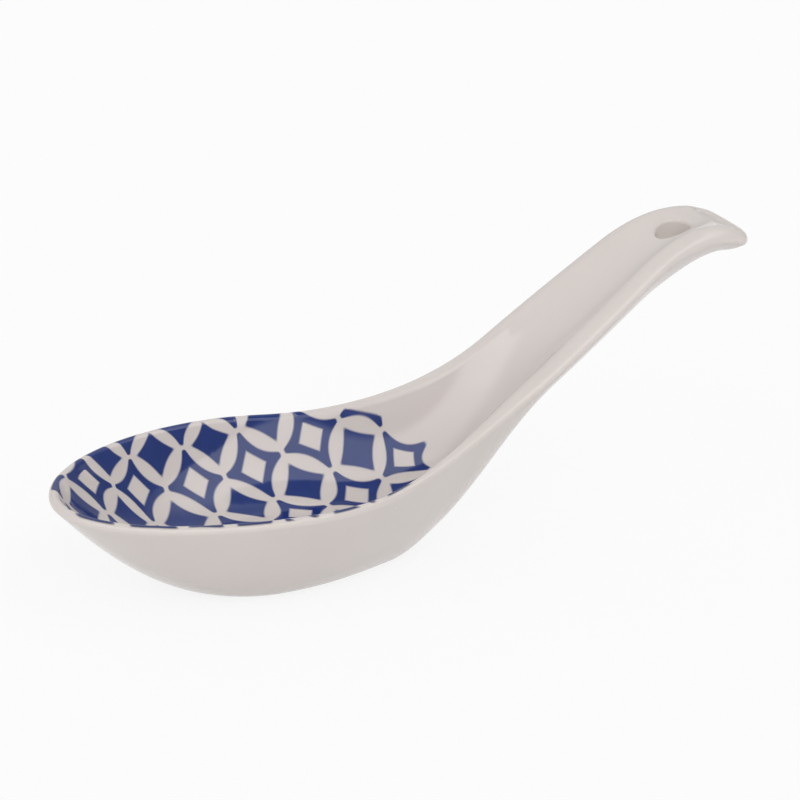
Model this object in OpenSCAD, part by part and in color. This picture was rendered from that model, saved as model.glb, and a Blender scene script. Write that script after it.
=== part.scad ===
// Chinese soup spoon in glazed porcelain, with a blue lattice print inside its bowl.
// The origin is the centre of the flat foot: +X runs to the handle, -X to the tip of the bowl, +Z is up.

/* [Bowl] */
// Width of the bowl across its edge, at its widest place
bowl_w = 47.8; // [45:0.2:51]
// Reach of the bowl's tip in front of its widest place
tip_reach = 40; // [37:0.2:43]
// Distance of the bowl's widest place in front of the foot's centre
widest_ahead = 5.8; // [4:0.2:8]
// Height of the bowl's edge above the table
rim_h = 21.2; // [19.6:0.2:23.6]
// How far the edge sinks towards the tip
tip_sink = 1.3; // [0.4:0.1:2]
// Thickness of porcelain under the bowl's floor
floor_t = 6.5; // [5.5:0.25:7.5]
// Width of the rounded lip that runs round the bowl's edge
lip_w = 2; // [1.6:0.1:2.6]
// Height of the rounded lip round the bowl
lip_h = 1; // [0.6:0.1:1.4]
// How far the lip rolls over into the bowl, in degrees
bowl_lip_turn = 156; // [140:2:170]
// How flat the bowl's floor is inside, as the power of its profile
floor_power = 3.6; // [2.5:0.1:4.5]
// How straight the bowl's wall is outside, as the power of its profile
wall_power = 1.58; // [1.3:0.02:1.7]

/* [Foot] */
// Length of the flat foot
foot_len = 37.8; // [35:0.2:41]
// Width of the foot at its widest place
foot_w = 19.4; // [16:0.2:22]
// Where the foot has narrowed to the keel under the handle
foot_end = 28.6; // [26:0.2:32]

/* [Neck] */
// Distance from the foot's centre to the neck, where the handle reaches its own width
neck_ahead = 44.8; // [42:0.2:48]
// Where the inside of the bowl starts to climb into the handle
ramp_start = 16; // [13:0.5:19]
// Where the inside of the bowl has become the groove of the handle
ramp_end = 56; // [53:0.5:60]
// Where the heel has become the underside of the handle
heel_end = 49; // [47:0.2:53]
// Where the line of the bowl's edge and the line of the handle would meet
bend_at = 25.6; // [23:0.2:28]
// Length of the curve that joins those two lines
bend_len = 42.2; // [38:0.2:46]

/* [Handle] */
// Distance from the foot's centre to the end of the handle
handle_reach = 91.4; // [89:0.2:95]
// Width of the handle at the neck
neck_w = 24.6; // [22:0.2:26]
// Width of the handle at its end
end_w = 16.8; // [16:0.2:19]
// Length of the rounded end
end_len = 6; // [5:0.2:8]
// How square the rounded end is, as the power of its outline
end_power = 4.6; // [3.4:0.1:5.4]
// Width of the rounded edges of the handle
grip_lip_w = 5.4; // [4.6:0.1:6]
// Height of the rounded edges of the handle
grip_lip_h = 2.1; // [1.7:0.1:2.5]
// Depth of the handle from its edges to its underside, at the neck
neck_t = 9.2; // [8.4:0.1:10]
// Depth of the handle from its edges to its underside, at its end
end_t = 5.2; // [4.8:0.1:6]
// Where the handle starts to become thinner towards its end
thin_start = 71.5; // [69:0.5:74]
// Depth of the groove along the top of the handle, at the neck
neck_groove = 2; // [1.2:0.1:2.6]
// Depth of the groove along the top of the handle, at its end
end_groove = 0.5; // [0.3:0.1:1]
// How round the groove is, as the power of its profile
groove_power = 2; // [1.6:0.1:2.6]
// How far the lip rolls over into the groove at the neck, in degrees
groove_lip_turn = 118; // [110:1:126]
// How far the lip rolls over into the groove at the end, in degrees
end_lip_turn = 101; // [96:1:108]
// Width of the flat keel line under the handle
keel_w = 3.4; // [2.8:0.1:4.6]
// How far the keel line stops short of the end
keel_inset = 4; // [3:0.1:4.6]
// Slope of the straight part of the handle, in degrees
handle_angle = 37.5; // [34:0.5:40]
// Slope at which the end turns down, in degrees
end_angle = 12; // [8:1:16]
// Where the rising line of the handle and the falling line of its end would meet
crest_at = 78; // [76:0.2:80]
// Length of the curve that joins those two lines
crest_len = 20; // [17:0.5:23]
// Where the end stops falling and flares out level
flare_at = 90; // [88:0.2:91]
// Length of the curve by which it flares out
flare_len = 3; // [2:0.2:5]
// How round the underside of the handle is, as the power of its profile
keel_power = 2.32; // [2:0.02:2.6]

/* [Hanging hole] */
// Diameter of the hole
hole_d = 6.6; // [5:0.2:7.4]
// Distance from the foot's centre to the hole
hole_at = 79; // [77:0.2:80]

/* [Print] */
// Length of a lattice cell along the rows that run from far edge to handle
cell_len = 10.4; // [9:0.1:12]
// Length of a lattice cell along the rows that run across them
cell_w = 8.6; // [7.5:0.1:10]
// Turn of the long rows from the spoon's length, in degrees
row_turn = -33; // [-45:1:-20]
// Angle between the two sets of rows, in degrees
row_angle = -80; // [-95:1:-75]
// A crossing of the rows on the sheet of print, along the spoon
crossing_x = -2.4; // [-5:0.2:1]
// The same crossing, measured up the bowl's wall from the middle
crossing_y = 26.8; // [24:0.2:30]
// Distance from the foot's centre to the rounded end of the print at the neck
print_reach = 38; // [35:0.2:41]
// Where the rounded end of the print starts
print_turn = 7; // [3:0.5:11]
// Thickness of the fired colour
print_t = 0.25; // [0.15:0.05:0.4]
// Clearance between the colour and the clay
print_gap = 0.1; // [0.08:0.01:0.15]
// Gap between the colour and the line of a row, at a crossing, as a share of the cell
gap_share = 0.05; // [0.02:0.01:0.08]
// How far a white petal swells into the cell, as a share of the cell
petal_share = 0.12; // [0.06:0.01:0.16]
// Size of the white middle of a framed cell, as a share of the cell
middle_share = 0.5; // [0.35:0.01:0.6]

/* [Hidden] */
$fn = 64;
overrun = 2;
tip_steps = 14;
side_steps = 34;
end_steps = 7;
wall_steps = 7;
lip_steps = 6;
floor_steps = 12;
petal_steps = 5;
cell_rings = 3;
row_reach = 9;
walk_steps = 12;
middle_reach_share = 0.95;
widest_x = -widest_ahead;
foot_front = foot_len/2 - widest_ahead;
end_x = handle_reach - end_len;
climb = tan(handle_angle);
fall = tan(end_angle);

// A share that eases from 0 to 1, flat at both ends.
function ease(t) =
    let (c = max(0, min(1, t)))
    c*c*(3 - 2*c);

// A ramp that is 0 before the bend and t after it, with a curve of the given length between.
function ramp(t, curve) =
    t <= -curve/2 ? 0 : t >= curve/2 ? t : (t + curve/2)*(t + curve/2)/(2*curve);

// The slope of that ramp.
function ramp_slope(t, curve) = max(0, min(1, t/curve + 1/2));

// A size that eases from its value at a start to its value at the end of the handle.
function along_handle(x, start, from, to) =
    from + (to - from)*ease((x - start)/(handle_reach - start));

// Half the width of the outline beside the bowl and the handle.
function edge_half(x) =
    let (handle = along_handle(x, neck_ahead, neck_w, end_w)/2)
    handle + (bowl_w/2 - handle)*ease((neck_ahead - x)/(neck_ahead - widest_x));

// Height of the edge along the spoon: level round the bowl, up the handle, over its crest.
function edge_z(x) =
    rim_h - tip_sink*pow(max(0, (widest_x - x)/tip_reach), 2)
    + climb*ramp(x - bend_at, bend_len)
    - (climb + fall)*ramp(x - crest_at, crest_len)
    + fall*ramp(x - flare_at, flare_len);

function edge_slope(x) =
    climb*ramp_slope(x - bend_at, bend_len)
    - (climb + fall)*ramp_slope(x - crest_at, crest_len)
    + fall*ramp_slope(x - flare_at, flare_len);

// The underside along the middle: flat on the foot, then up the heel to the handle.
function heel(x) = ease((x - foot_len/2)/(heel_end - foot_len/2));
function keel_z(x) = (edge_z(x) - along_handle(x, thin_start, neck_t, end_t))*heel(x);
function keel_half(x) =
    let (back = min(1, (x - widest_x)/(foot_end - widest_x)))
    keel_w/2 + (foot_w - keel_w)/2*pow(1 - back*back, 3/2);

// The top along the middle: flat on the bowl's floor, then up to the groove of the handle.
function climb_share(x) = ease((x - ramp_start)/(ramp_end - ramp_start));
function floor_z(x) =
    floor_t
    + (edge_z(x) - along_handle(x, ramp_end, neck_groove, end_groove) - floor_t)*climb_share(x);
function floor_curve(x) = floor_power + (groove_power - floor_power)*climb_share(x);

// The lip rolls over from its outer side: how far it has come in, and how far it is below its crest.
// It is wider and higher on the handle than round the bowl.
function lip_turn(x) =
    bowl_lip_turn + (along_handle(x, ramp_end, groove_lip_turn, end_lip_turn) - bowl_lip_turn)*climb_share(x);
function lip_in(x, roll) = (lip_w + (grip_lip_w - lip_w)*climb_share(x))*(1 - cos(roll*lip_turn(x)))/2;
function lip_down(x, roll) = (lip_h + (grip_lip_h - lip_h)*climb_share(x))*(1 - sin(roll*lip_turn(x)));

// Half of the outline, from the tip round the +Y side to the end, drawn in by a share of the lip's roll.
function edge_line(roll) = concat(
    [for (i = [0:tip_steps - 1])
        let (a = 90*i/tip_steps, inset = lip_in(widest_x, roll))
        [widest_x - (tip_reach - inset)*cos(a), (bowl_w/2 - inset)*sin(a)]],
    [for (i = [0:side_steps])
        let (x = widest_x + (end_x - widest_x)*i/side_steps)
        [x, edge_half(x) - lip_in(x, roll)]],
    [for (i = [1:end_steps])
        let (a = 90*i/end_steps, inset = lip_in(end_x, roll))
        [end_x + (end_len - inset)*pow(sin(a), 2/end_power),
         (edge_half(end_x) - inset)*pow(cos(a), 2/end_power)]]);

// The same stations on the rim of the foot and along the sides of the keel.
function keel_line() = concat(
    [for (i = [0:tip_steps - 1])
        let (a = 90*i/tip_steps)
        [widest_x - foot_front*cos(a), foot_w/2*sin(a)]],
    [for (i = [0:side_steps])
        let (x = widest_x + (end_x - widest_x)*i/side_steps)
        [x, keel_half(x)]],
    [for (i = [1:end_steps])
        let (a = 90*i/end_steps)
        [end_x + (end_len - keel_inset)*pow(sin(a), 2/end_power), keel_w/2*pow(cos(a), 2/end_power)]]);

// A half row of points and its mirror image, as one closed ring.
function ring(half) = concat(half, [for (i = [len(half) - 2:-1:1]) [half[i][0], -half[i][1], half[i][2]]]);

// Triangles between neighbouring rings of n points, closed by flat caps or by joining the last ring to the first.
function ring_faces(n, rows, capped) = concat(
    [for (j = [0:rows - (capped ? 2 : 1)]) for (i = [0:n - 1])
        let (a = j*n + i, b = j*n + (i + 1)%n, c = (j + 1)%rows*n + i, d = (j + 1)%rows*n + (i + 1)%n)
        each j < rows/2 ? [[a, b, c], [b, d, c]] : [[a, b, d], [a, d, c]]],
    capped ? cap_faces(n, 0, false) : [],
    capped ? cap_faces(n, (rows - 1)*n, true) : []);
function cap_faces(n, first, up) = [
    for (i = [0:n/2 - 1])
        let (a = first + i, b = first + i + 1, c = first + (n - i - 1)%n, d = first + (n - i)%n)
        for (t = [[a, b, c], [a, c, d]])
            if (t[0] != t[1] && t[1] != t[2] && t[0] != t[2])
                up ? t : [t[0], t[2], t[1]]];

module ring_solid(rings, capped = true) {
    polyhedron([for (r = rings) each r], ring_faces(len(rings[0]), len(rings), capped));
}

// Rings of the body: up the outer wall, over the lip, and down the inner wall.
function wall_rings() =
    let (low = keel_line(), high = edge_line(0))
    [for (j = [0:wall_steps]) ring(
        [for (i = [0:len(low) - 1])
            let (share = j/wall_steps,
                 base = keel_z(low[i][0]),
                 power = wall_power + (keel_power - wall_power)*heel(low[i][0]),
                 p = low[i] + (high[i] - low[i])*share)
            [p[0], p[1], base + (edge_z(high[i][0]) - lip_down(high[i][0], 0) - base)*pow(share, power)]])];
function lip_rings() =
    let (outer = edge_line(0))
    [for (j = [1:lip_steps - 1])
        let (inner = edge_line(j/lip_steps))
        ring([for (i = [0:len(outer) - 1])
            [inner[i][0], inner[i][1], edge_z(outer[i][0]) - lip_down(outer[i][0], j/lip_steps)]])];
function floor_rings() =
    let (outer = edge_line(0), mouth = edge_line(1))
    [for (j = [floor_steps:-1:1]) ring(
        [for (i = [0:len(outer) - 1])
            let (share = j/floor_steps,
                 middle = [max(widest_x, min(end_x, outer[i][0])), 0],
                 base = floor_z(middle[0]),
                 top = edge_z(outer[i][0]) - lip_down(outer[i][0], 1),
                 p = middle + (mouth[i] - middle)*share)
            [p[0], p[1], base + (top - base)*pow(share, floor_curve(middle[0]))]])];

// Height of the bowl's inside over a point, for a surface that lies off the clay by the given lift.
function inside_z(p, lift) =
    let (ahead = max(0, widest_x - p[0]),
         middle_x = max(widest_x, p[0]),
         inset = lip_in(middle_x, 1) + lift,
         tip = tip_reach - inset,
         share = norm([ahead/tip, p[1]/(edge_half(middle_x) - inset)]),
         edge_x = ahead > 0 ? widest_x - ahead/share*tip_reach/tip : p[0],
         base = floor_z(middle_x) + lift)
    base + (edge_z(edge_x) - lip_down(middle_x, 1) - base)*pow(share, floor_curve(middle_x));

// The room that the print may fill: under the lip round the bowl, and rounded off at the neck.
function print_half(x) =
    let (out = max(0, min(1, (x - print_turn)/(print_reach - print_turn))))
    edge_half(x)*sqrt(1 - out*out);
function print_line() = concat(
    [for (i = [0:tip_steps - 1])
        let (a = 90*i/tip_steps)
        [widest_x - tip_reach*cos(a), bowl_w/2*sin(a)]],
    [for (i = [0:side_steps])
        let (x = widest_x + (print_reach - widest_x)*sin(90*i/side_steps))
        [x, print_half(x)]]);
module print_room() {
    ring_solid([
        ring([for (e = print_line()) [e[0], e[1], 0]]),
        ring([for (e = print_line()) [e[0], e[1], edge_z(e[0]) - lip_down(e[0], 1) - print_gap]])]);
}

// How far out a walk of n steps up the bowl's wall comes, seen from above.
function wall_slope(out, half, rise, power) = rise*power/half*pow(out/half, power - 1);
function walk(step, half, rise, power, n, out = 0) =
    n == 0 ? out :
    let (midway = out + step/2/norm([1, wall_slope(out, half, rise, power)]))
    walk(step, half, rise, power, n - 1, out + step/norm([1, wall_slope(midway, half, rise, power)]));

// A place on the lattice, counted in cells, laid along the clay from the middle line, seen from above.
function laid(i, j) =
    let (u = crossing_x + i*cell_len*cos(row_turn) + j*cell_w*cos(row_turn + row_angle),
         v = crossing_y + i*cell_len*sin(row_turn) + j*cell_w*sin(row_turn + row_angle),
         x = max(widest_x, u),
         way = norm([u - x, v]),
         heading = way > 0 ? [u - x, v]/way : [0, 1],
         inset = lip_in(x, 1),
         half = 1/norm([heading[0]/(tip_reach - inset), heading[1]/(edge_half(x) - inset)]),
         rise = edge_z(x + heading[0]*half) - lip_down(x, 1) - floor_z(x))
    [x, 0] + heading*walk(way/walk_steps, half, rise, floor_curve(x), walk_steps);

// One side of a cell, from a corner towards the next, hollowed by a white petal.
function petal_side(swell) = [
    for (k = [0:petal_steps - 1])
        let (t = k/petal_steps)
        [gap_share + (1 - 2*gap_share)*t - 1/2, gap_share + swell*4*t*(1 - t) - 1/2]];
function turned(p, quarter) =
    [p[0]*cos(90*quarter) - p[1]*sin(90*quarter), p[0]*sin(90*quarter) + p[1]*cos(90*quarter)];

// A ring of a cell, on its way out from its middle to its sides, off the clay by the given lift.
function cell_ring(i, j, hollow, out, lift) =
    let (sides = petal_side(petal_share), middles = petal_side(0))
    [for (quarter = [0:3]) for (k = [0:petal_steps - 1])
        let (inner = turned(middles[k], quarter)*hollow,
             q = inner + (turned(sides[k], quarter) - inner)*out,
             p = laid(i + 1/2 + q[0], j + 1/2 + q[1]))
        [p[0], p[1], inside_z(p, lift)]];
module cell(i, j, hollow) {
    first = hollow > 0 ? 0 : 1;
    ring_solid(concat(
        [for (r = [first:cell_rings]) cell_ring(i, j, hollow, r/cell_rings, print_gap)],
        [for (r = [cell_rings:-1:first]) cell_ring(i, j, hollow, r/cell_rings, print_gap + print_t)]),
        hollow == 0);
}

// Every second cell of the lattice whose middle lies in the bowl, cut off under the lip.
module cells(odd, hollow) {
    intersection() {
        print_room();
        for (i = [-row_reach:row_reach]) for (j = [-row_reach:row_reach]) {
            middle = laid(i + 1/2, j + 1/2);
            ahead = max(0, widest_x - middle[0])/tip_reach;
            aside = middle[1]/edge_half(max(widest_x, middle[0]));
            if (abs(i + j)%2 == odd && norm([ahead, aside]) < middle_reach_share && middle[0] < print_reach)
                cell(i, j, hollow);
        }
    }
}

// Slip-cast body: bowl, oval foot, grooved handle and the hole that it hangs by.
module porcelain_body() {
    color("#E4DFDA")
    difference() {
        ring_solid(concat(wall_rings(), lip_rings(), floor_rings()));
        translate([hole_at, 0, edge_z(hole_at) - neck_t/2])
        rotate([0, -atan(edge_slope(hole_at)), 0])
        cylinder(d = hole_d, h = 2*neck_t + overrun, center = true);
    }
}

// Cobalt print: the cells that are filled with colour.
module print_solid_squares() {
    color("#2F4690") cells(1, 0);
}

// Cobalt print: the cells that are drawn as a frame round a white middle.
module print_framed_squares() {
    color("#3B539C") cells(0, middle_share);
}

porcelain_body();
print_solid_squares();
print_framed_squares();
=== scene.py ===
"""A Chinese soup spoon of glazed porcelain with a cobalt lattice printed in its bowl."""

import math

import bpy
import numpy as np
from mathutils import Matrix, Vector


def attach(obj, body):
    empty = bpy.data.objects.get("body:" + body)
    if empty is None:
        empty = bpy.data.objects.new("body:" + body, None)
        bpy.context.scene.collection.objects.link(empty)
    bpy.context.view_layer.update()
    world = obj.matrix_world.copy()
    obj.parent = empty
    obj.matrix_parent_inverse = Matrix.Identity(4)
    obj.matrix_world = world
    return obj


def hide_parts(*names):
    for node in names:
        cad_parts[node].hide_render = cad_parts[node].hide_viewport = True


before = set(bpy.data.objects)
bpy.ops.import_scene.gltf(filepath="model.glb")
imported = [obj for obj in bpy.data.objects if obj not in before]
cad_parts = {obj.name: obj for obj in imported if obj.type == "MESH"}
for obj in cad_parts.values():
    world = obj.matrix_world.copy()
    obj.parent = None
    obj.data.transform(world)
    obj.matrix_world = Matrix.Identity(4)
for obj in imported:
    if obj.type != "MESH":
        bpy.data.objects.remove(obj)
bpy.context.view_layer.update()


# Porcelain body: bowl, flat oval foot, neck and grooved handle, slip-cast in one piece of white clay.
# The hole was punched while the clay was soft, so both of its rims are round.
# The sizes are the part's own, in millimetres and degrees.
MM = 0.001
bowl_w, tip_reach, widest_x, rim_h, tip_sink = 47.8, 40, -5.8, 21.2, 1.3
floor_t, floor_power, wall_power = 6.5, 3.6, 1.58
lip_w, lip_h, grip_lip_w, grip_lip_h = 2, 1, 5.4, 2.1
bowl_lip_turn, groove_lip_turn, end_lip_turn, lip_start = 156, 118, 101, -24
foot_len, foot_w, foot_end, foot_front, foot_power = 37.8, 19.4, 28.6, 13.1, 1.5
neck_ahead, ramp_start, ramp_end, heel_end, bend_at, bend_len = 44.8, 16, 56, 49, 25.6, 42.2
handle_reach, end_x, end_len, end_power, thin_start = 91.4, 85.4, 6, 4.6, 71.5
neck_w, end_w, neck_t, end_t, neck_groove, end_groove, groove_power = 24.6, 16.8, 9.2, 5.2, 2, 0.5, 2
keel_w, keel_inset, keel_power = 3.4, 4, 2.32
crest_at, crest_len, flare_at, flare_len = 78, 20, 90, 3
# The climb is a hair under the part's 37.5 degrees, since the part's facets cut the handle's crest.
climb, fall = math.tan(math.radians(37.48)), math.tan(math.radians(12))


def ease(t):
    """A share that eases from 0 to 1, flat at both ends."""
    c = max(0, min(1, t))
    return c * c * (3 - 2 * c)


def ramp(t, curve):
    """A ramp that is 0 before a bend and t after it."""
    return 0 if t <= -curve / 2 else t if t >= curve / 2 else (t + curve / 2) ** 2 / (2 * curve)


def along_handle(x, start, at_start, at_end):
    """A size that eases from one value to another between a place on the handle and its end."""
    return at_start + (at_end - at_start) * ease((x - start) / (handle_reach - start))


def edge_half(x):
    """Half the width of the outline beside the bowl and the handle."""
    handle = along_handle(x, neck_ahead, neck_w, end_w) / 2
    return handle + (bowl_w / 2 - handle) * ease((neck_ahead - x) / (neck_ahead - widest_x))


def edge_z(x):
    """Height of the edge: level round the bowl, up the handle, over its crest and out."""
    return (
        rim_h
        - tip_sink * max(0, (widest_x - x) / tip_reach) ** 2
        + climb * ramp(x - bend_at, bend_len)
        - (climb + fall) * ramp(x - crest_at, crest_len)
        + fall * ramp(x - flare_at, flare_len)
    )


def heel(x):
    """How far the underside has left the table: 0 at the foot, 1 along the handle."""
    return ease((x - foot_len / 2) / (heel_end - foot_len / 2))


def keel_z(x):
    return (edge_z(x) - along_handle(x, thin_start, neck_t, end_t)) * heel(x)


def keel_half(x):
    back = min(1, (x - widest_x) / (foot_end - widest_x))
    return keel_w / 2 + (foot_w - keel_w) / 2 * (1 - back * back) ** foot_power


def climb_share(x):
    """How far the bowl has become the handle: 0 in the bowl, 1 on the handle."""
    return ease((x - ramp_start) / (ramp_end - ramp_start))


def floor_z(x):
    groove = along_handle(x, ramp_end, neck_groove, end_groove)
    return floor_t + (edge_z(x) - groove - floor_t) * climb_share(x)


def floor_curve(x):
    return floor_power + (groove_power - floor_power) * climb_share(x)


def lip_turn(x):
    """How far the lip rolls over to the inside."""
    grip_turn = along_handle(x, ramp_end, groove_lip_turn, end_lip_turn)
    return bowl_lip_turn + (grip_turn - bowl_lip_turn) * climb_share(x)


def lip_in(x, turn):
    """How far in the lip has come at a turn of its roll. It is wider on the handle than round the bowl."""
    return (lip_w + (grip_lip_w - lip_w) * climb_share(x)) * (1 - np.cos(np.radians(turn))) / 2


def lip_down(x, turn):
    """How far below its crest the lip is at a turn of its roll."""
    return (lip_h + (grip_lip_h - lip_h) * climb_share(x)) * (1 - np.sin(np.radians(turn)))


def edge_point(station, inset):
    """A station of the outline, seen from above and drawn in by the inset, or by each of several."""
    stretch, t = station
    if stretch == "tip":
        x, y = widest_x - (tip_reach - inset) * math.cos(t), (bowl_w / 2 - inset) * math.sin(t)
    elif stretch == "side":
        x, y = t + 0 * inset, edge_half(t) - inset
    else:
        out, across = math.sin(t) ** (2 / end_power), max(0, math.cos(t)) ** (2 / end_power)
        x, y = end_x + (end_len - inset) * out, (edge_half(end_x) - inset) * across
    return np.stack([x, y], axis=-1)


def foot_point(station):
    """The same station on the rim of the foot and along the side of the keel."""
    stretch, t = station
    if stretch == "tip":
        return np.array([widest_x - foot_front * math.cos(t), foot_w / 2 * math.sin(t)])
    if stretch == "side":
        return np.array([t, keel_half(t)])
    out, across = math.sin(t) ** (2 / end_power), max(0, math.cos(t)) ** (2 / end_power)
    return np.array([end_x + (end_len - keel_inset) * out, keel_w / 2 * across])


def inner_path(station, floor_steps, lip_steps, last_turn):
    """Points from the middle of the floor up the inner wall and over the lip, to a turn of its roll."""
    outer = edge_point(station, 0)
    x = max(widest_x, min(end_x, outer[0]))
    turn = lip_turn(x)
    mouth, middle = edge_point(station, lip_in(x, turn)), np.array([x, 0])
    base, crest = floor_z(x), edge_z(outer[0])
    share = np.linspace(0, 1, floor_steps + 1)[:, None]
    rise = (crest - lip_down(x, turn) - base) * share ** floor_curve(x)
    wall = middle + (mouth - middle) * share, base + rise
    roll = np.linspace(turn, last_turn, lip_steps + 1)[1:]
    lip = edge_point(station, lip_in(x, roll)), (crest - lip_down(x, roll))[:, None]
    return np.vstack([np.hstack(wall), np.hstack(lip)])


def outer_path(station, foot_steps, wall_steps):
    """Points from the middle of the underside out to the foot's rim and up the outer wall to the lip."""
    outer, low = edge_point(station, 0), foot_point(station)
    x = max(widest_x, min(end_x, outer[0]))
    high = edge_point(station, lip_in(x, lip_start))
    base, top = keel_z(low[0]), edge_z(outer[0]) - lip_down(x, lip_start)
    power = wall_power + (keel_power - wall_power) * heel(low[0])
    share = np.linspace(0, 1, foot_steps + 1)[:, None]
    foot = np.hstack([low * np.hstack([1 + 0 * share, share]), base + 0 * share])
    share = np.linspace(0, 1, wall_steps + 1)[1:, None]
    wall = np.hstack([low + (high - low) * share, base + (top - base) * share**power])
    return np.vstack([foot, wall])


def laid_grid(name, columns, rows, place):
    """A grid primitive with each corner moved to where place(column, row) says, in millimetres."""
    bpy.ops.object.select_all(action="DESELECT")
    bpy.ops.mesh.primitive_grid_add(x_subdivisions=columns, y_subdivisions=rows, size=2)
    piece = bpy.context.object
    piece.name = name
    for corner in piece.data.vertices:
        column, row = round((corner.co.x + 1) / 2 * columns), round((corner.co.y + 1) / 2 * rows)
        corner.co = Vector(place(column, row)) * MM
    return piece


double_gap, sliver_w = 0.002 * MM, 0.001 * MM


def close_seams(piece):
    """Merges the doubles of a piece and turns its faces outwards."""
    bpy.ops.object.select_all(action="DESELECT")
    piece.select_set(True)
    bpy.context.view_layer.objects.active = piece
    bpy.ops.object.mode_set(mode="EDIT")
    bpy.ops.mesh.select_all(action="SELECT")
    bpy.ops.mesh.remove_doubles(threshold=double_gap)
    bpy.ops.mesh.dissolve_degenerate(threshold=sliver_w)
    bpy.ops.mesh.normals_make_consistent(inside=False)
    bpy.ops.mesh.select_all(action="DESELECT")
    bpy.ops.object.mode_set(mode="OBJECT")


tip_steps, side_steps, end_steps = 44, 152, 20
foot_steps, wall_steps, floor_steps, lip_steps = 6, 26, 40, 16
half_round = (
    [("tip", math.pi / 2 * i / tip_steps) for i in range(tip_steps)]
    + [("side", widest_x + (end_x - widest_x) * i / side_steps) for i in range(side_steps + 1)]
    + [("end", math.pi / 2 * i / end_steps) for i in range(1, end_steps + 1)]
)
half_sections = [
    np.vstack([
        outer_path(station, foot_steps, wall_steps)[:-1],
        inner_path(station, floor_steps, lip_steps, lip_start)[::-1],
    ])
    for station in half_round
]
other_side = [section * [1, -1, 1] for section in half_sections[-2:0:-1]]
sections = half_sections + other_side
body = laid_grid(
    "porcelain_spoon",
    len(sections),
    len(sections[0]) - 1,
    lambda column, row: sections[column % len(sections)][row],
)
close_seams(body)

# The hole's collar: its rims are rolled, and its outer rings lie on the groove and on the underside.
hole_at, hole_r, rim_r, collar_r, cleared_r = 79, 3.3, 0.9, 5.0, 5.7
hole_tilt = math.atan((edge_z(hole_at + 1) - edge_z(hole_at - 1)) / 2)
hole_axis = np.array([-math.sin(hole_tilt), 0, math.cos(hole_tilt)])
hole_along = np.array([math.cos(hole_tilt), 0, math.sin(hole_tilt)])
hole_middle = np.array([hole_at, 0, edge_z(hole_at) - neck_t / 2])
collar_steps, rim_steps, settling_steps = 72, 9, 12


def groove_top(x, y):
    turn = lip_turn(x)
    share = abs(y) / (edge_half(x) - lip_in(x, turn))
    return floor_z(x) + (edge_z(x) - lip_down(x, turn) - floor_z(x)) * share ** floor_curve(x)


def groove_under(x, y):
    low, high = keel_half(x), edge_half(x) - lip_in(x, lip_start)
    share, power = max(0, (abs(y) - low) / (high - low)), wall_power + (keel_power - wall_power) * heel(x)
    return keel_z(x) + (edge_z(x) - lip_down(x, lip_start) - keel_z(x)) * share**power


def around_hole(out, angle, surface):
    """A point on the top or the underside, beside the hole's axis by the given distance."""
    point = hole_middle + out * (math.cos(angle) * hole_along + math.sin(angle) * np.array([0, 1, 0]))
    for _ in range(settling_steps):
        point = point + hole_axis * (surface(point[0], point[1]) - point[2]) / hole_axis[2]
    return point


def collar_section(angle):
    """Points from the collar's outer ring on top, through the hole, to its outer ring underneath."""
    rolls = [math.pi / 2 * i / rim_steps for i in range(rim_steps + 1)]
    rings = collar_r, (collar_r + hole_r + rim_r) / 2
    top = [around_hole(out, angle, groove_top) for out in rings]
    under = [around_hole(out, angle, groove_under) for out in rings]
    for roll in rolls:
        out, sink = hole_r + rim_r * (1 - math.sin(roll)), rim_r * (1 - math.cos(roll)) * hole_axis
        top.append(around_hole(out, angle, groove_top) - sink)
        under.append(around_hole(out, angle, groove_under) + sink)
    return top + under[::-1]


collar_sections = [collar_section(2 * math.pi * i / collar_steps) for i in range(collar_steps)]
collar = laid_grid(
    "collar",
    collar_steps,
    len(collar_sections[0]) - 1,
    lambda column, row: collar_sections[column % collar_steps][row],
)
close_seams(collar)


def from_axis(point):
    """How far a point lies from the hole's axis, and how high along it, in millimetres."""
    away = np.array(point) / MM - hole_middle
    high = away @ hole_axis
    return np.linalg.norm(away - high * hole_axis), high


for face in body.data.polygons:
    face.select = bool(from_axis(face.center)[0] < cleared_r)
bpy.ops.object.select_all(action="DESELECT")
body.select_set(True)
bpy.context.view_layer.objects.active = body
bpy.ops.object.mode_set(mode="EDIT")
bpy.ops.mesh.select_mode(type="FACE")
bpy.ops.mesh.delete(type="FACE")
bpy.ops.object.mode_set(mode="OBJECT")
collar.select_set(True)
bpy.ops.object.join()
for above in (True, False):
    bpy.ops.object.mode_set(mode="EDIT")
    bpy.ops.mesh.select_mode(type="EDGE")
    bpy.ops.mesh.select_all(action="DESELECT")
    bpy.ops.mesh.select_non_manifold()
    bpy.ops.object.mode_set(mode="OBJECT")
    for edge in body.data.edges:
        start = body.data.vertices[edge.vertices[0]].co
        edge.select = edge.select and bool(from_axis(start)[1] > 0) == above
    bpy.ops.object.mode_set(mode="EDIT")
    bpy.ops.mesh.select_mode(type="EDGE")
    bpy.ops.mesh.bridge_edge_loops()
    bpy.ops.object.mode_set(mode="OBJECT")
close_seams(body)
bpy.ops.object.shade_smooth()


def linear(hex_colour):
    """An sRGB hex colour as the linear colour that a shader takes."""
    shares = [int(hex_colour[i : i + 2], 16) / 255 for i in (1, 3, 5)]
    return (*(c / 12.92 if c <= 0.04045 else ((c + 0.055) / 1.055) ** 2.4 for c in shares), 1)


def node(tree, kind, inputs=None, **settings):
    """Adds a node with its settings. An input is a value or another node's output, by name or number."""
    made = tree.nodes.new(kind)
    for name, value in settings.items():
        setattr(made, name, value)
    for name, value in (inputs or {}).items():
        if isinstance(value, bpy.types.NodeSocket):
            tree.links.new(value, made.inputs[name])
        else:
            made.inputs[name].default_value = value
    return made


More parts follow.
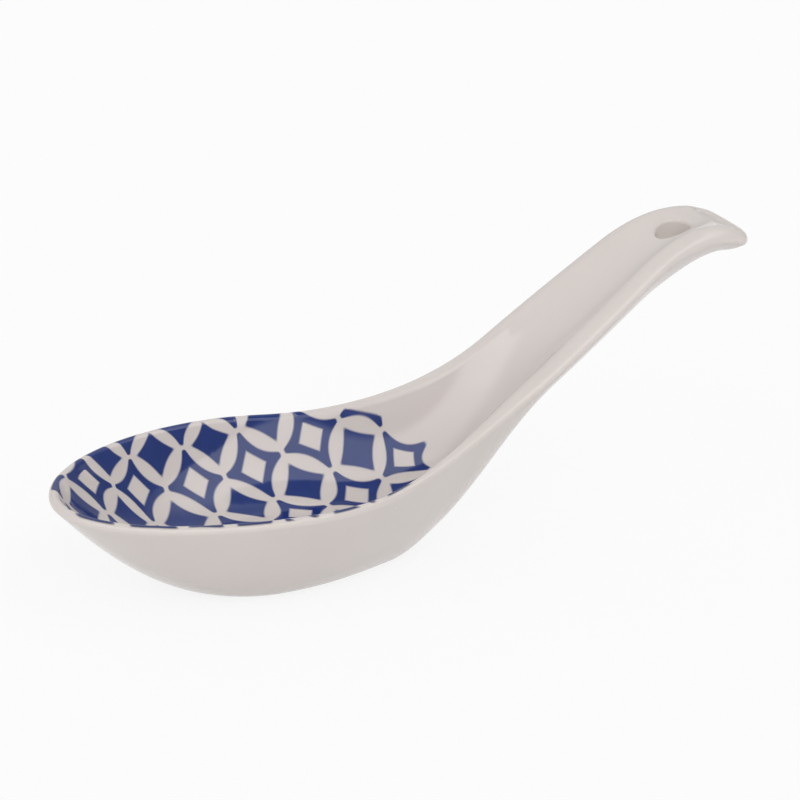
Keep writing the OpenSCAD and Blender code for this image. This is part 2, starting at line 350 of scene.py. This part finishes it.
def new_material(name):
    material = bpy.data.materials.new(name)
    material.use_nodes = True
    material.node_tree.nodes.clear()
    return material, material.node_tree


# Porcelain under clear glaze: a warm white with faint clouds where the clay is thicker or thinner,
# and a smooth wet-looking surface that is never quite even.
porcelain_light, porcelain_deep = "#D3CBC7", "#CCC4BF"
cloud_size, cloud_detail = 14 * MM, 3.0
ripple_size, ripple_detail, ripple_depth = 5 * MM, 1.0, 0.012 * MM
glaze_ior, glaze_roughness = 1.5, 0.05


def porcelain_colour(tree, place):
    clouds = node(
        tree, "ShaderNodeTexNoise", {"Vector": place, "Scale": 1 / cloud_size, "Detail": cloud_detail}
    )
    return node(
        tree,
        "ShaderNodeMix",
        {0: clouds.outputs["Fac"], 6: linear(porcelain_deep), 7: linear(porcelain_light)},
        data_type="RGBA",
    ).outputs[2]


def glaze_ripple(tree, place):
    waves = node(
        tree, "ShaderNodeTexNoise", {"Vector": place, "Scale": 1 / ripple_size, "Detail": ripple_detail}
    )
    return node(
        tree,
        "ShaderNodeBump",
        {"Height": waves.outputs["Fac"], "Strength": 1.0, "Distance": ripple_depth},
    ).outputs[0]


glazed_porcelain, tree = new_material("glazed porcelain")
place = node(tree, "ShaderNodeTexCoord").outputs["Object"]
surface = node(
    tree,
    "ShaderNodeBsdfPrincipled",
    {
        "Base Color": porcelain_colour(tree, place),
        "Roughness": glaze_roughness,
        "IOR": glaze_ior,
        "Normal": glaze_ripple(tree, place),
    },
)
node(tree, "ShaderNodeOutputMaterial", {"Surface": surface.outputs[0]})
body.data.materials.clear()
body.data.materials.append(glazed_porcelain)
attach(body, "root")
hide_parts("porcelain_body")


# Filled squares of the print: every second cell of a lattice, between its white petals.
# Cobalt blue, printed on a transfer that was pressed into the bowl and drawn about a little,
# then covered by the same glaze as the clay. Cells are counted in shares of a cell.
cell_len, cell_w, row_turn, row_angle = 10.4, 8.6, math.radians(-33), math.radians(-80)
crossing = np.array([-2.4, 26.8])
solid_gap, solid_swell, solid_corner = 0.1, 0.08, 0.78
print_reach, print_half_w, crest_turn, near_cut, near_cut_len = 33.7, 31.2, 42, 0.75, 25
colour_top, colour_t, spare, coat_angle = 0.03, 0.08, 0.02, math.radians(40)
# How far crossings of the lattice were drawn off their even places, in millimetres on the sheet.
drawn_off = {
    (0, 0): (1.2, 0.0), (1, 0): (0.6, -0.4), (2, 0): (0.4, -0.6), (3, 0): (0.1, -0.8),
    (0, 1): (0.6, -0.5), (1, 1): (0.0, -1.7), (2, 1): (0.6, 0.6), (-1, 1): (0.3, 0.3),
    (-1, 2): (-0.5, -0.3), (0, 2): (-0.4, -0.5), (1, 2): (0.4, 0.9), (-2, 2): (-0.9, -0.7),
    (-2, 3): (-0.8, 0.6), (2, -1): (-0.7, 0.6), (3, -1): (-2.0, 0.5), (-2, 1): (0.0, -2.5),
    (-3, 2): (0.6, -4.6), (-1, 0): (2.3, -2.0), (-3, 3): (-2.2, -1.4), (-3, 4): (-2.1, -0.8),
    (-2, 4): (0.1, 3.0), (-1, 3): (-1.9, 0.0), (4, -1): (-3.4, -3.9), (4, 0): (-0.8, 0.0),
}
drawn_places = np.array(list(drawn_off), float)
drawn_reach, drawn_ease = 0.9, 0.1


def near_drawn(i, j):
    """How strongly each drawn crossing pulls at a place on the lattice."""
    away = np.linalg.norm(drawn_places - [i, j], axis=1)
    return np.exp(-((away / drawn_reach) ** 2) / 2)


drawn_pull = np.linalg.solve(
    np.array([near_drawn(*place) for place in drawn_places]) + drawn_ease * np.eye(len(drawn_places)),
    np.array(list(drawn_off.values())),
)


def on_transfer(i, j):
    """A place on the lattice, counted in cells, on the sheet of the transfer."""
    along = cell_len * np.array([math.cos(row_turn), math.sin(row_turn)])
    across = cell_w * np.array([math.cos(row_turn + row_angle), math.sin(row_turn + row_angle)])
    return crossing + i * along + j * across + near_drawn(i, j) @ drawn_pull


# The clay's inner side as ribs from the middle of the bowl out over the lip, each cut into even steps.
rib_steps, rib_fineness = 400, 4
print_side_steps = math.ceil((print_reach - widest_x) / (end_x - widest_x) * side_steps)
ribs, rib_lengths = [], []
for station in half_round[: tip_steps + print_side_steps + 2]:
    path = inner_path(station, rib_fineness * floor_steps, rib_fineness * lip_steps, crest_turn)
    ways = np.concatenate([[0], np.cumsum(np.linalg.norm(np.diff(path, axis=0), axis=1))])
    even = np.linspace(0, ways[-1], rib_steps + 1)
    ribs.append(np.stack([np.interp(even, ways, path[:, axis]) for axis in range(3)], axis=1))
    rib_lengths.append(ways[-1])
ribs, rib_lengths = np.array(ribs), np.array(rib_lengths)
least_out, short_of_end = 0.01, 1e-6


def pressed(u, v):
    """Presses places of the sheet along the clay, from the middle of the bowl.

    Gives the places, how far inside the print's edge each is, and how far below its edge on the lip.
    """
    out = np.where(u > 0, np.hypot(u / print_reach, v / print_half_w), 0)
    inset = np.where(u > 0, (1 / np.maximum(out, least_out) - 1) * np.hypot(u, v), print_reach)
    u, v = u / np.maximum(1, out), v / np.maximum(1, out)
    roll = lip_in(widest_x, bowl_lip_turn)
    turn = np.arctan2(np.abs(v) / (bowl_w / 2 - roll), np.maximum(0, widest_x - u) / (tip_reach - roll))
    column = turn / (math.pi / 2) * tip_steps + np.maximum(0, u - widest_x) / (end_x - widest_x) * side_steps
    way = np.hypot(np.minimum(0, u - widest_x), v)
    length = np.interp(column, np.arange(len(ribs)), rib_lengths)
    last = length - np.where(v < 0, near_cut * np.clip(u / near_cut_len, 0, 1), 0)
    step = np.minimum(way, last) / length * (rib_steps - short_of_end)
    rib, along = column.astype(int), step.astype(int)
    beside, ahead = (column - rib)[:, None], (step - along)[:, None]
    places = (1 - beside) * ((1 - ahead) * ribs[rib, along] + ahead * ribs[rib, along + 1])
    places += beside * ((1 - ahead) * ribs[rib + 1, along] + ahead * ribs[rib + 1, along + 1])
    places[:, 1] *= np.sign(v)
    return places, np.clip(np.minimum(inset, last - way), 0, None), np.clip(last - way, 0, None)


def cell_outline(t, gap, swell, corner):
    """A point on the bottom side of a cell's coat, t from -1 to 1 along it, in shares of the cell."""
    reach = 1 / 2 - gap + spare
    point = np.array([t * reach, -reach + swell * (1 - t * t)])
    return point * min(1, (corner + spare) / np.abs(point).sum())


# Cells near the lip are made finer and without a hole, so that their cut edge is smooth.
coarse_corners, coarse_rows, finer_corners, finer_rows, lip_zone = 8, 6, 4, 3, 3.5
least_inset, least_points = 0.1, 8


def printed_cell(name, i, j, gap, swell, corner, hollow, corners, rows):
    """One cell of the lattice on the clay, or nothing where the sheet was cut.

    Its columns run round it, and its rows from its middle out.
    """
    shares = np.empty((4 * corners + 1, rows + 1, 2))
    for column in range(4 * corners + 1):
        t = 2 * (column % corners) / corners - 1
        outer, inner = cell_outline(t, gap, swell, corner), np.array([t, -1]) * max(0, hollow - spare)
        line = inner + (outer - inner) * np.linspace(0, 1, rows + 1)[:, None]
        x, y = line.T
        shares[column] = np.stack(((x, y), (-y, x), (-x, -y), (y, -x))[column // corners % 4], axis=1)
    sheet = np.array([on_transfer(i + 1 / 2 + x, j + 1 / 2 + y) for x, y in shares.reshape(-1, 2)])
    places, insets, below_lip = pressed(*sheet.T)
    places = places.reshape(*shares.shape[:2], 3)
    insets, below_lip = insets.reshape(shares.shape[:2]), below_lip.reshape(shares.shape[:2])
    if (insets > least_inset).sum() < least_points:
        return None
    if corners == coarse_corners and insets.min() < lip_zone:
        return printed_cell(name, i, j, gap, swell, corner, 0, finer_corners * corners, finer_rows * rows)
    cell = laid_grid(name, 4 * corners, rows, lambda column, row: places[column, row])
    uv = cell.data.uv_layers.active.data
    edge = cell.data.attributes.new("inset", "FLOAT", "POINT").data
    lip = cell.data.attributes.new("below_lip", "FLOAT", "POINT").data
    for face in cell.data.polygons:
        inside = False
        for loop in face.loop_indices:
            column, row = round(uv[loop].uv[0] * 4 * corners), round(uv[loop].uv[1] * rows)
            inside = inside or insets[column, row] > 0
            edge[cell.data.loops[loop].vertex_index].value = insets[column, row]
            lip[cell.data.loops[loop].vertex_index].value = below_lip[column, row]
            uv[loop].uv = shares[column, row] + 1 / 2
        face.select = not inside
    bpy.ops.object.mode_set(mode="EDIT")
    bpy.ops.mesh.select_mode(type="FACE")
    bpy.ops.mesh.delete(type="FACE")
    bpy.ops.object.mode_set(mode="OBJECT")
    return cell


cells_along, cells_across = range(-6, 6), range(-4, 9)
# Cells at the border that the transfer was cut without.
left_off = (1, -2), (3, -2), (4, -1), (4, 3), (-4, 5), (-4, 6)


def printed_cells(name, odd, *shape):
    """Every second cell of the lattice in the bowl, as one piece: a thin coat of colour on the clay."""
    places = [(i, j) for i in cells_along for j in cells_across if (i + j) % 2 == odd]
    bpy.context.tool_settings.mesh_select_mode = False, False, True
    cells = [
        printed_cell(name, *place, *shape, coarse_corners, coarse_rows)
        for place in places
        if place not in left_off
    ]
    cells = [cell for cell in cells if cell]
    bpy.ops.object.select_all(action="DESELECT")
    for cell in cells:
        cell.select_set(True)
    bpy.context.view_layer.objects.active = cells[0]
    bpy.ops.object.join()
    printed = bpy.context.object
    printed.name = name
    bpy.ops.object.mode_set(mode="EDIT")
    bpy.ops.mesh.select_all(action="SELECT")
    bpy.ops.mesh.remove_doubles(threshold=double_gap)
    bpy.ops.mesh.dissolve_degenerate(threshold=sliver_w)
    # Where faces of the coat meet in a corner only, the corner goes, so that the coat closes.
    bpy.ops.mesh.select_mode(type="VERT")
    bpy.ops.mesh.select_all(action="DESELECT")
    bpy.ops.mesh.select_non_manifold(
        use_wire=False, use_boundary=False, use_multi_face=False, use_non_contiguous=False
    )
    bpy.ops.mesh.delete(type="VERT")
    bpy.ops.object.mode_set(mode="OBJECT")
    coat = printed.modifiers.new("coat", "SOLIDIFY")
    coat.thickness = colour_t * MM
    coat.offset = 2 * colour_top / colour_t - 1
    bpy.ops.object.modifier_apply(modifier=coat.name)
    bpy.ops.object.shade_smooth_by_angle(angle=coat_angle)
    return printed


# Cobalt underglaze: blue that ran a little down the wall, so it is streaked, soft at its border
# with the white, and almost black along the cut edge of the print on the lip.
cobalt_edge, cobalt_dark, cobalt_thin = "#0C1538", "#0E2663", "#233A7C"
cell_size, run_size, run_along, run_detail = 9.5, 3.0, 0.3, 4.0
soft, blunt, edge_w = 0.5 / cell_size, 0.1, 0.9
# Below the lip, how far down a framed square begins to fill, and where it is full.
filled_from, filled_to = 3.2, 1.8


def cobalt_print(name, gap, swell, corner, hollow):
    """Ink inside a cell's outline and outside its hollow, and clay elsewhere, by the cell's own UV map."""
    material, tree = new_material(name)
    place = node(tree, "ShaderNodeTexCoord").outputs["Object"]
    cell = node(tree, "ShaderNodeTexCoord").outputs["UV"]
    inset = node(tree, "ShaderNodeAttribute", attribute_name="inset").outputs["Fac"]
    below_lip = node(tree, "ShaderNodeAttribute", attribute_name="below_lip").outputs["Fac"]
    centred = node(tree, "ShaderNodeVectorMath", {0: cell, 1: (0.5, 0.5, 0)}, operation="SUBTRACT")
    folded = node(tree, "ShaderNodeVectorMath", {0: centred.outputs[0]}, operation="ABSOLUTE")
    share = node(tree, "ShaderNodeSeparateXYZ", {0: folded.outputs[0]}).outputs
    away = []
    for near, beside in ((0, 1), (1, 0)):
        squared = node(tree, "ShaderNodeMath", {0: share[beside], 1: 2.0}, operation="POWER")
        bulge = node(
            tree,
            "ShaderNodeMath",
            {0: squared.outputs[0], 1: 4 * swell, 2: 0.5 - gap - swell},
            operation="MULTIPLY_ADD",
        )
        side = node(tree, "ShaderNodeMath", {0: bulge.outputs[0], 1: share[near]}, operation="SUBTRACT")
        away.append(side.outputs[0])
    inward = node(tree, "ShaderNodeMath", {0: away[0], 1: away[1], 2: blunt}, operation="SMOOTH_MIN")
    reach = node(tree, "ShaderNodeMath", {0: share[0], 1: share[1]}, operation="ADD")
    to_corner = node(tree, "ShaderNodeMath", {0: corner, 1: reach.outputs[0]}, operation="SUBTRACT")
    inward = node(
        tree,
        "ShaderNodeMath",
        {0: inward.outputs[0], 1: to_corner.outputs[0], 2: blunt},
        operation="SMOOTH_MIN",
    )
    if hollow:
        far = node(tree, "ShaderNodeMath", {0: share[0], 1: share[1]}, operation="MAXIMUM")
        filled = node(
            tree,
            "ShaderNodeMapRange",
            {
                "Value": below_lip,
                "From Min": filled_to,
                "From Max": filled_from,
                "To Min": hollow + soft,
                "To Max": 0.0,
            },
        )
        size = node(tree, "ShaderNodeMath", {0: hollow, 1: filled.outputs[0]}, operation="SUBTRACT")
        from_middle = node(
            tree, "ShaderNodeMath", {0: far.outputs[0], 1: size.outputs[0]}, operation="SUBTRACT"
        )
        inward = node(
            tree, "ShaderNodeMath", {0: inward.outputs[0], 1: from_middle.outputs[0]}, operation="MINIMUM"
        )
    edge = node(tree, "ShaderNodeMath", {0: inset, 1: 1 / cell_size, 2: -soft / 2}, operation="MULTIPLY_ADD")
    inward = node(
        tree,
        "ShaderNodeMath",
        {0: inward.outputs[0], 1: edge.outputs[0], 2: blunt},
        operation="SMOOTH_MIN",
    )
    ink = node(
        tree,
        "ShaderNodeMapRange",
        {"Value": inward.outputs[0], "From Min": -soft / 2, "From Max": soft / 2},
        interpolation_type="SMOOTHSTEP",
    )
    # Almost black at the print's cut edge on the lip, easing back to the streaked blue within edge_w below
    # it.
    dark_at_cut_edge = node(
        tree,
        "ShaderNodeMapRange",
        {"Value": below_lip, "From Min": 0.0, "From Max": edge_w, "To Min": 1.0, "To Max": 0.0},
        interpolation_type="SMOOTHSTEP",
    )
    drawn = node(tree, "ShaderNodeMapping", {"Vector": place, "Scale": (1, 1, run_along)})
    runs = node(
        tree,
        "ShaderNodeTexNoise",
        {"Vector": drawn.outputs[0], "Scale": 1 / (run_size * MM), "Detail": run_detail},
    )
    streaked = node(
        tree,
        "ShaderNodeMix",
        {0: runs.outputs["Fac"], 6: linear(cobalt_dark), 7: linear(cobalt_thin)},
        data_type="RGBA",
    )
    blue = node(
        tree,
        "ShaderNodeMix",
        {0: dark_at_cut_edge.outputs[0], 6: streaked.outputs[2], 7: linear(cobalt_edge)},
        data_type="RGBA",
    )
    colour = node(
        tree,
        "ShaderNodeMix",
        {0: ink.outputs[0], 6: porcelain_colour(tree, place), 7: blue.outputs[2]},
        data_type="RGBA",
    )
    surface = node(
        tree,
        "ShaderNodeBsdfPrincipled",
        {
            "Base Color": colour.outputs[2],
            "Roughness": glaze_roughness,
            "IOR": glaze_ior,
            "Normal": glaze_ripple(tree, place),
        },
    )
    node(tree, "ShaderNodeOutputMaterial", {"Surface": surface.outputs[0]})
    return material


solid_shape = solid_gap, solid_swell, solid_corner, 0
solid_squares = printed_cells("cobalt_solid_squares", 1, *solid_shape)
solid_squares.data.materials.clear()
solid_squares.data.materials.append(cobalt_print("cobalt underglaze filled", *solid_shape))
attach(solid_squares, "root")
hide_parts("print_solid_squares")


# Framed squares of the print: the cells in between, each drawn as a frame round a white middle.
# The same cobalt on the same transfer, under the same glaze.
framed_gap, framed_swell, framed_corner, frame_middle = -0.045, 0.17, 0.935, 0.21
framed_shape = framed_gap, framed_swell, framed_corner, frame_middle
framed_squares = printed_cells("cobalt_framed_squares", 0, *framed_shape)
framed_squares.data.materials.clear()
framed_squares.data.materials.append(cobalt_print("cobalt underglaze framed", *framed_shape))
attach(framed_squares, "root")
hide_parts("print_framed_squares")


# Floor, light and camera: a plain white sheet under the spoon that keeps its soft shadow,
# soft light from a pale room all round with a brighter patch above, and a camera where the
# photograph was taken from.
sheet_size, sheet_colour, sheet_glow, white = 6, "#EDEDED", 0.85, "#FFFFFF"
bpy.ops.object.select_all(action="DESELECT")
bpy.ops.mesh.primitive_plane_add(size=sheet_size)
floor = bpy.context.object
floor.name = "white_sheet"
white_paper, tree = new_material("white paper")
rays = node(tree, "ShaderNodeLightPath").outputs
seen = node(
    tree, "ShaderNodeMath", {0: rays["Is Camera Ray"], 1: rays["Is Glossy Ray"]}, operation="MAXIMUM"
)
seen = node(
    tree, "ShaderNodeMath", {0: seen.outputs[0], 1: rays["Is Transmission Ray"]}, operation="MAXIMUM"
)
paper = node(tree, "ShaderNodeBsdfDiffuse", {"Color": linear(sheet_colour)})
glow = node(tree, "ShaderNodeEmission", {"Color": linear(white), "Strength": 1.0})
lifted = node(tree, "ShaderNodeMath", {0: seen.outputs[0], 1: sheet_glow}, operation="MULTIPLY")
bright = node(tree, "ShaderNodeMixShader", {0: lifted.outputs[0], 1: paper.outputs[0], 2: glow.outputs[0]})
node(tree, "ShaderNodeOutputMaterial", {"Surface": bright.outputs[0]})
floor.data.materials.append(white_paper)

horizon_light, sky_light, softbox_light, back_light = 0.9, 0.4, 1.7, 0.4
horizon_top, sky_start = 0.1, 0.17
# Each edge of a light: the way across it, and where along that way it starts and is full.
softbox_edges = (
    ((-0.432, 0, 1), 0.34, 0.37),
    ((0.173, 0, -1), -0.86, -0.83),
    ((0, -1, 0), -0.5, 0.15),
    ((-1, 0, 0), -0.8, -0.5),
    ((0, 0, 1), 0.2, 0.3),
)
back_edges = (((0, 1, 0), 0.1, 0.6), ((0, 0, 1), 0.1, 0.4))
world = bpy.data.worlds.new("studio")
bpy.context.scene.world = world
world.use_nodes = True
tree = world.node_tree
tree.nodes.clear()
heading = node(tree, "ShaderNodeTexCoord").outputs["Generated"]
height = node(tree, "ShaderNodeSeparateXYZ", {0: heading}).outputs["Z"]
brightness = node(
    tree,
    "ShaderNodeMapRange",
    {
        "Value": height,
        "From Min": horizon_top,
        "From Max": sky_start,
        "To Min": horizon_light,
        "To Max": sky_light,
    },
    interpolation_type="SMOOTHSTEP",
).outputs[0]
for edges, light in ((softbox_edges, softbox_light), (back_edges, back_light)):
    patch = light
    for across, start, full in edges:
        along = node(tree, "ShaderNodeVectorMath", {0: heading, 1: across}, operation="DOT_PRODUCT")
        lit = node(
            tree,
            "ShaderNodeMapRange",
            {"Value": along.outputs["Value"], "From Min": start, "From Max": full},
            interpolation_type="SMOOTHSTEP",
        )
        patch = node(tree, "ShaderNodeMath", {0: lit.outputs[0], 1: patch}, operation="MULTIPLY").outputs[0]
    brightness = node(tree, "ShaderNodeMath", {0: brightness, 1: patch}, operation="ADD").outputs[0]
air = node(tree, "ShaderNodeBackground", {"Color": linear(white), "Strength": brightness})
node(tree, "ShaderNodeOutputWorld", {"Surface": air.outputs[0]})

camera_turn, camera_lift, camera_roll = (math.radians(a) for a in (-28.283, 22.797, 3.462))
camera_away, camera_lens, sensor_w, near_clip, far_clip = 553.9, 134.3, 36, 0.01, 20
aim_point, aim_right, aim_up = Vector((23, 0, 25)), -0.58, 4.815
back = Vector((
    math.sin(camera_turn) * math.cos(camera_lift),
    -math.cos(camera_turn) * math.cos(camera_lift),
    math.sin(camera_lift),
))
level_right = Vector((math.cos(camera_turn), math.sin(camera_turn), 0))
level_up = back.cross(level_right)
right = math.cos(camera_roll) * level_right + math.sin(camera_roll) * level_up
up = back.cross(right)
eye = aim_point + back * camera_away
look = (eye - (aim_point + aim_right * right + aim_up * up)).normalized()
right = (right - right.dot(look) * look).normalized()
up = look.cross(right)
camera_data = bpy.data.cameras.new("camera")
camera_data.lens, camera_data.sensor_width = camera_lens, sensor_w
camera_data.clip_start, camera_data.clip_end = near_clip, far_clip
camera = bpy.data.objects.new("camera", camera_data)
bpy.context.scene.collection.objects.link(camera)
camera.matrix_world = Matrix.Translation(eye * MM) @ Matrix((right, up, look)).transposed().to_4x4()
bpy.context.scene.camera = camera
bpy.context.scene.view_settings.view_transform = "Standard"
